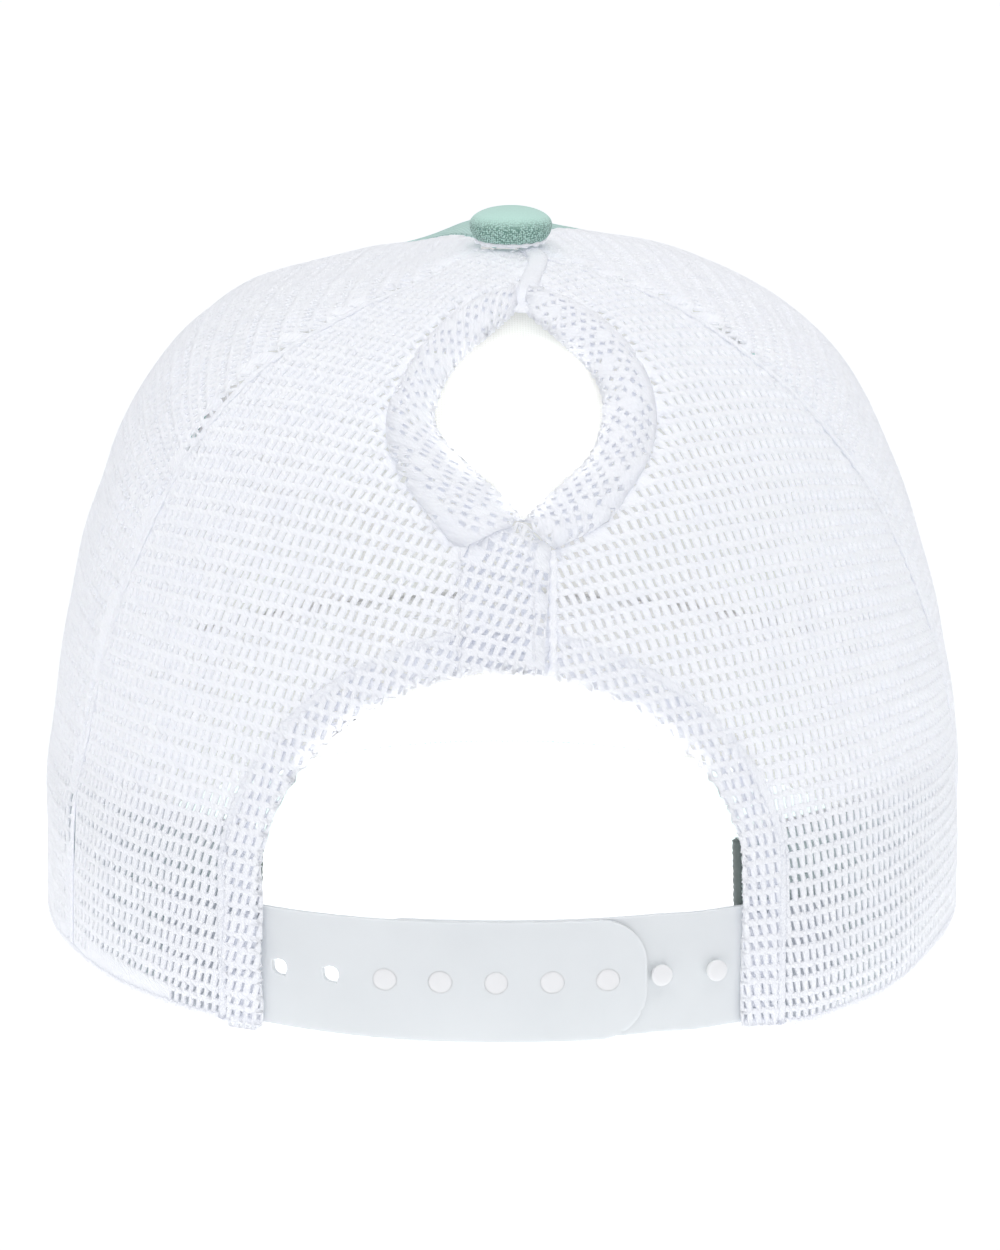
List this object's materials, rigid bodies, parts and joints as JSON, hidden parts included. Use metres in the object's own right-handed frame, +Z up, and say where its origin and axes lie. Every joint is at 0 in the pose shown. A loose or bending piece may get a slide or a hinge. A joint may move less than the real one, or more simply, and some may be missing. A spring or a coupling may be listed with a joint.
{
  "type": "trucker cap",
  "caption": "Trucker cap with padded front panels, curved brim, open mesh back, high ponytail hole and arch opening closed by a snap strap.",
  "frame": {"origin": "on the surface that the cap rests on, under the middle of its overall box", "axes": "+Z up, the brim points to -Y and the strap and openings face +Y, +X is the wearer's left"},
  "size_m": [0.1802, 0.262, 0.1461],
  "materials": {
    "mint_twill": "matte woven cotton twill",
    "mint_sweatband": "matte brushed cotton",
    "white_mesh": "soft knitted polyester mesh",
    "lining_foam": "matte foam-backed lining",
    "strap_plastic": "milky satin polyethylene"
  },
  "bodies": {
    "root": {"front_panel_left": "mint_twill", "front_panel_right": "mint_twill", "side_mesh_left": "white_mesh", "side_mesh_right": "white_mesh", "back_mesh_left": "white_mesh", "back_mesh_right": "white_mesh", "arch_hem_left": "white_mesh", "arch_hem_right": "white_mesh", "bun_hem_left": "white_mesh", "bun_hem_right": "white_mesh", "bridge_strip": "white_mesh", "front_lining": "lining_foam", "sweatband": "mint_sweatband", "brim": "mint_twill", "button": "mint_twill", "strap_holes": "strap_plastic", "strap_pegs": "strap_plastic"}
  },
  "joints": []
}
